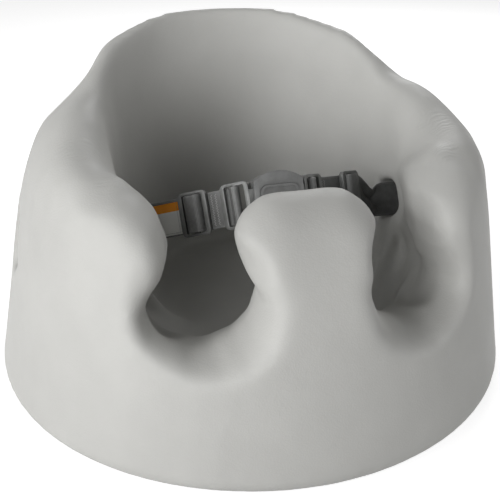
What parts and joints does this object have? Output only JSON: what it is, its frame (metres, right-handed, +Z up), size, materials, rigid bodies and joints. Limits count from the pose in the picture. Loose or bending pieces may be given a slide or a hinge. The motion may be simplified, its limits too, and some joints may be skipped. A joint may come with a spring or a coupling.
{
  "type": "baby floor seat",
  "caption": "Round one-piece moulded foam floor seat for a baby, with a high back, two leg openings beside a thick centre post, and a lap belt with a push-button buckle.",
  "frame": {"origin": "centre of the round footprint, on the floor", "axes": "+Z up, -Y the front, where the baby's legs come out, +X to the right as seen from the front"},
  "size_m": [0.38, 0.38, 0.2369],
  "materials": {
    "foam": "satin",
    "webbing": "matte",
    "patch": "matte",
    "belt_plastic": "satin",
    "buckle_plastic": "satin",
    "hidden_plastic": "matte",
    "spring_steel": "satin"
  },
  "bodies": {
    "seat": {"seat_body": "foam", "left_anchor_plate": "hidden_plastic", "right_anchor_plate": "hidden_plastic", "left_webbing": "webbing", "right_webbing": "webbing", "left_strap_patch": "patch", "buckle_front_cover": "buckle_plastic", "buckle_back_cover": "buckle_plastic", "latch_leaf": "spring_steel", "buckle_screws": "spring_steel"},
    "button": {"release_button": "buckle_plastic"},
    "left_catch": {"left_tongue": "belt_plastic"},
    "right_catch": {"right_tongue": "belt_plastic"},
    "left_adjuster": {"left_slider": "belt_plastic"},
    "right_adjuster": {"right_slider": "belt_plastic"}
  },
  "joints": [
    {"name": "button_press", "type": "slide", "parent": "seat", "child": "button", "axis": [0, 0.9063, -0.4226], "range_m": [0, 0.0024], "stiffness_N_per_m": 1500, "springref_m": -0.0012, "deforming": ["latch_leaf"]},
    {"name": "left_tongue_release", "type": "slide", "parent": "seat", "child": "left_catch", "axis": [-1, 0, 0], "range_m": [0, 0.014], "deforming": ["latch_leaf", "left_webbing", "left_strap_patch"]},
    {"name": "right_tongue_release", "type": "slide", "parent": "seat", "child": "right_catch", "axis": [1, 0, 0], "range_m": [0, 0.014], "deforming": ["latch_leaf", "right_webbing"]},
    {"name": "left_slider_adjust", "type": "slide", "parent": "left_catch", "child": "left_adjuster", "axis": [-0.7865, 0.5311, -0.315], "range_m": [-0.009, 0.014], "deforming": ["left_webbing", "left_strap_patch"]},
    {"name": "right_slider_adjust", "type": "slide", "parent": "right_catch", "child": "right_adjuster", "axis": [0.7875, 0.5724, -0.2284], "range_m": [-0.022, 0.006], "deforming": ["right_webbing"]}
  ]
}
